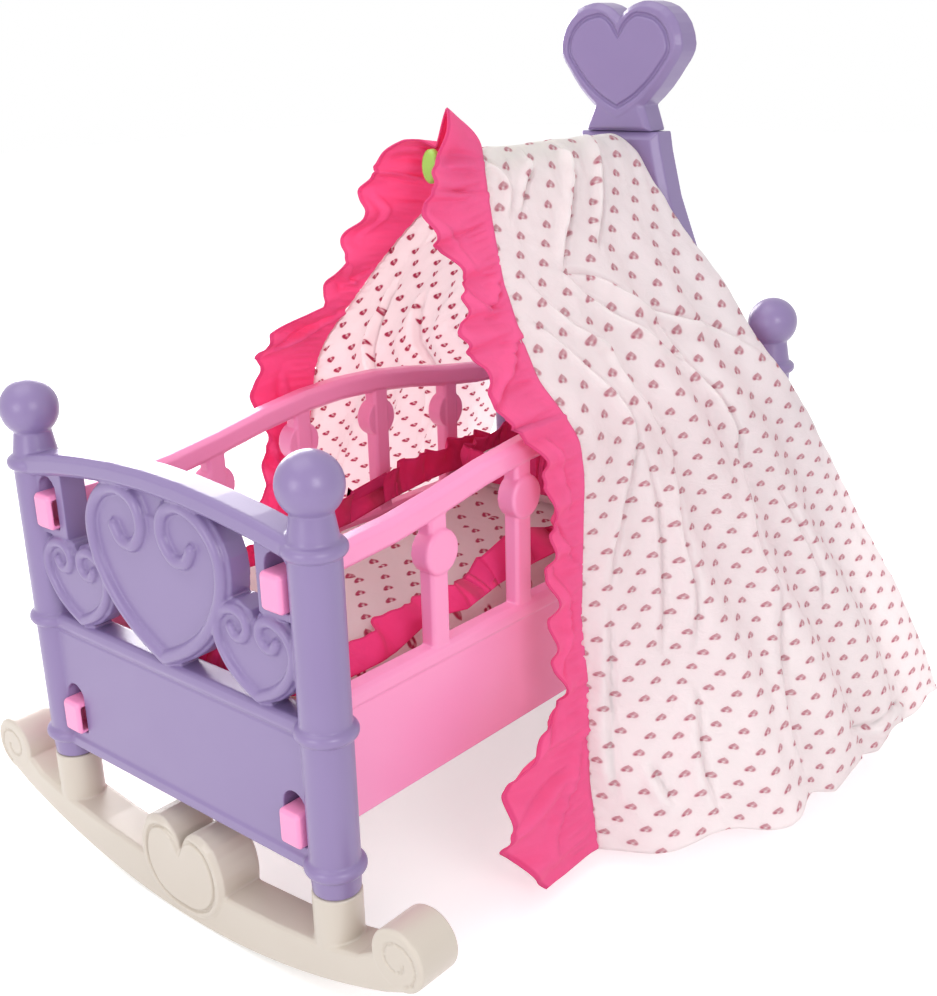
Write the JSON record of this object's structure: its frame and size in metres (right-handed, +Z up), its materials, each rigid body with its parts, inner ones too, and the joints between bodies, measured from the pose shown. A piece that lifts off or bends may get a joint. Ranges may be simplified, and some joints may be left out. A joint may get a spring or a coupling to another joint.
{
  "type": "doll cradle",
  "caption": "Toy doll cradle on heart rockers, with scrolled heart end boards, baluster side panels, ruffled bedding and a printed canopy draped over an arm.",
  "frame": {"origin": "middle of the whole object's footprint, at floor level", "axes": "+Z up, +Y from the footboard to the headboard, +X across the cradle to the right when the footboard is faced from outside"},
  "size_m": [0.53, 0.5299, 0.5346],
  "materials": {
    "plastic_lilac": "satin gloss",
    "plastic_pink": "satin gloss",
    "plastic_cream": "satin gloss",
    "plastic_lime": "satin",
    "base_board": "matt",
    "fabric_print": "thin woven print",
    "fabric_hot_pink": "thin woven"
  },
  "bodies": {
    "cradle": {"footboard": "plastic_lilac", "headboard": "plastic_lilac", "canopy_mast": "plastic_lilac", "mast_heart_head": "plastic_lilac", "canopy_arm": "plastic_lime", "side_panel_right": "plastic_pink", "side_panel_left": "plastic_pink", "bed_base": "base_board", "rocker_foot": "plastic_cream", "rocker_head": "plastic_cream", "canopy_cloth": "fabric_print", "canopy_ruffle": "fabric_hot_pink"},
    "coverlet": {"coverlet": "fabric_print", "coverlet_ruffle": "fabric_hot_pink"},
    "pillow": {"pillow": "fabric_print", "pillow_ruffle": "fabric_hot_pink"}
  },
  "joints": [
    {"name": "coverlet_lift", "type": "slide", "parent": "cradle", "child": "coverlet", "axis": [0, 0, 1], "range_m": [0, 0.04]},
    {"name": "pillow_lift", "type": "slide", "parent": "coverlet", "child": "pillow", "axis": [0, 0, 1], "range_m": [0, 0.05]}
  ]
}
